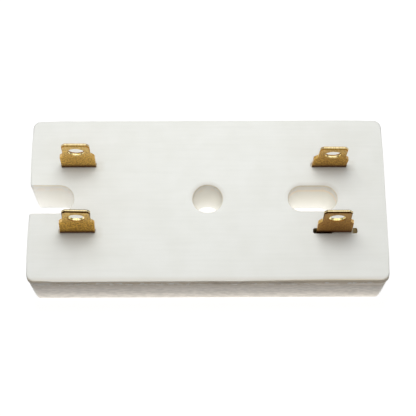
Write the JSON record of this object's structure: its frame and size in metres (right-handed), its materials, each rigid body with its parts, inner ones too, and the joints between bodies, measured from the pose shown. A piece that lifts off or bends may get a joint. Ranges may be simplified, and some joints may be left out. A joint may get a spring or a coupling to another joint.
{
  "type": "ignition coil resistor",
  "caption": "Dual ballast resistor: a white ceramic block with a notch and screw holes, brass blade terminals on top, and resistance wire coils in cemented troughs at the back.",
  "frame": {"origin": "on the back face, under the middle of the ceramic body", "axes": "+X along the body from the open notch towards the oblong hole, +Y across it towards the rear pair of terminals, +Z out of the deck that the terminals stand on"},
  "size_m": [0.0826, 0.04, 0.0265],
  "materials": {
    "ceramic": "fired steatite, unglazed satin",
    "terminal_brass": "rolled and stamped brass sheet, lightly toned",
    "resistance_wire": "drawn nickel chrome wire, dull oxide",
    "cement": "cast refractory cement, matte and grainy"
  },
  "bodies": {
    "root": {"ceramic_body": "ceramic", "terminal_rear_left": "terminal_brass", "terminal_rear_right": "terminal_brass", "terminal_front_left": "terminal_brass", "terminal_front_right": "terminal_brass", "heavy_coil": "resistance_wire", "fine_coil": "resistance_wire", "cement_block_rear": "cement", "cement_plug_front_left": "cement", "cement_plug_front_right": "cement"}
  },
  "joints": []
}
